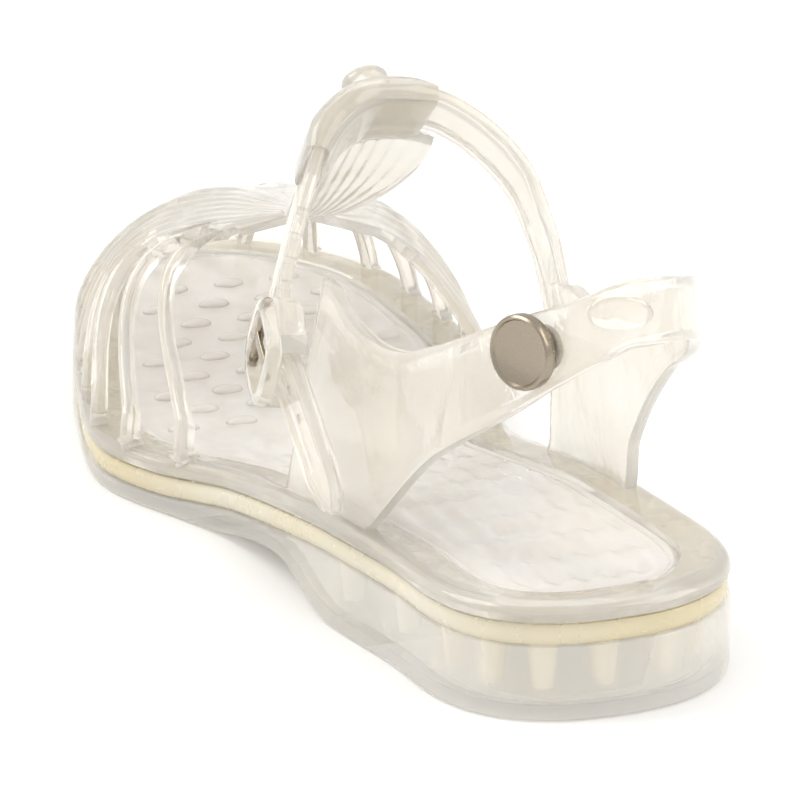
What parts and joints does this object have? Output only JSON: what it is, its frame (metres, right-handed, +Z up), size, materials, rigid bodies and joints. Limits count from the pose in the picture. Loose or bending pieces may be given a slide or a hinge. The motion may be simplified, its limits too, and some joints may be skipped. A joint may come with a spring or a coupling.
{
  "type": "jelly sandal",
  "caption": "Clear moulded sandal for the left foot: ribbed closed toe, T-bar, buckled ankle strap, high heel band, ochre joint band and hollow low-heeled sole.",
  "frame": {"origin": "on the floor, under the middle of the sandal's bounding box", "axes": "+X to the wearer's inner (medial) side, +Y from heel to toe, +Z up from the floor"},
  "size_m": [0.0862, 0.2456, 0.0829],
  "materials": {
    "clear_pvc": "clear, slightly cream soft PVC with a wet gloss",
    "ochre_pvc": "translucent ochre PVC, glossy",
    "dark_nickel": "polished dark nickel"
  },
  "bodies": {
    "root": {"outsole": "clear_pvc", "joint_band": "ochre_pvc", "insole": "clear_pvc", "upper": "clear_pvc", "buckle_frame": "clear_pvc", "buckle_prong": "dark_nickel", "stud_cap": "dark_nickel", "stud_washer": "dark_nickel"}
  },
  "joints": []
}
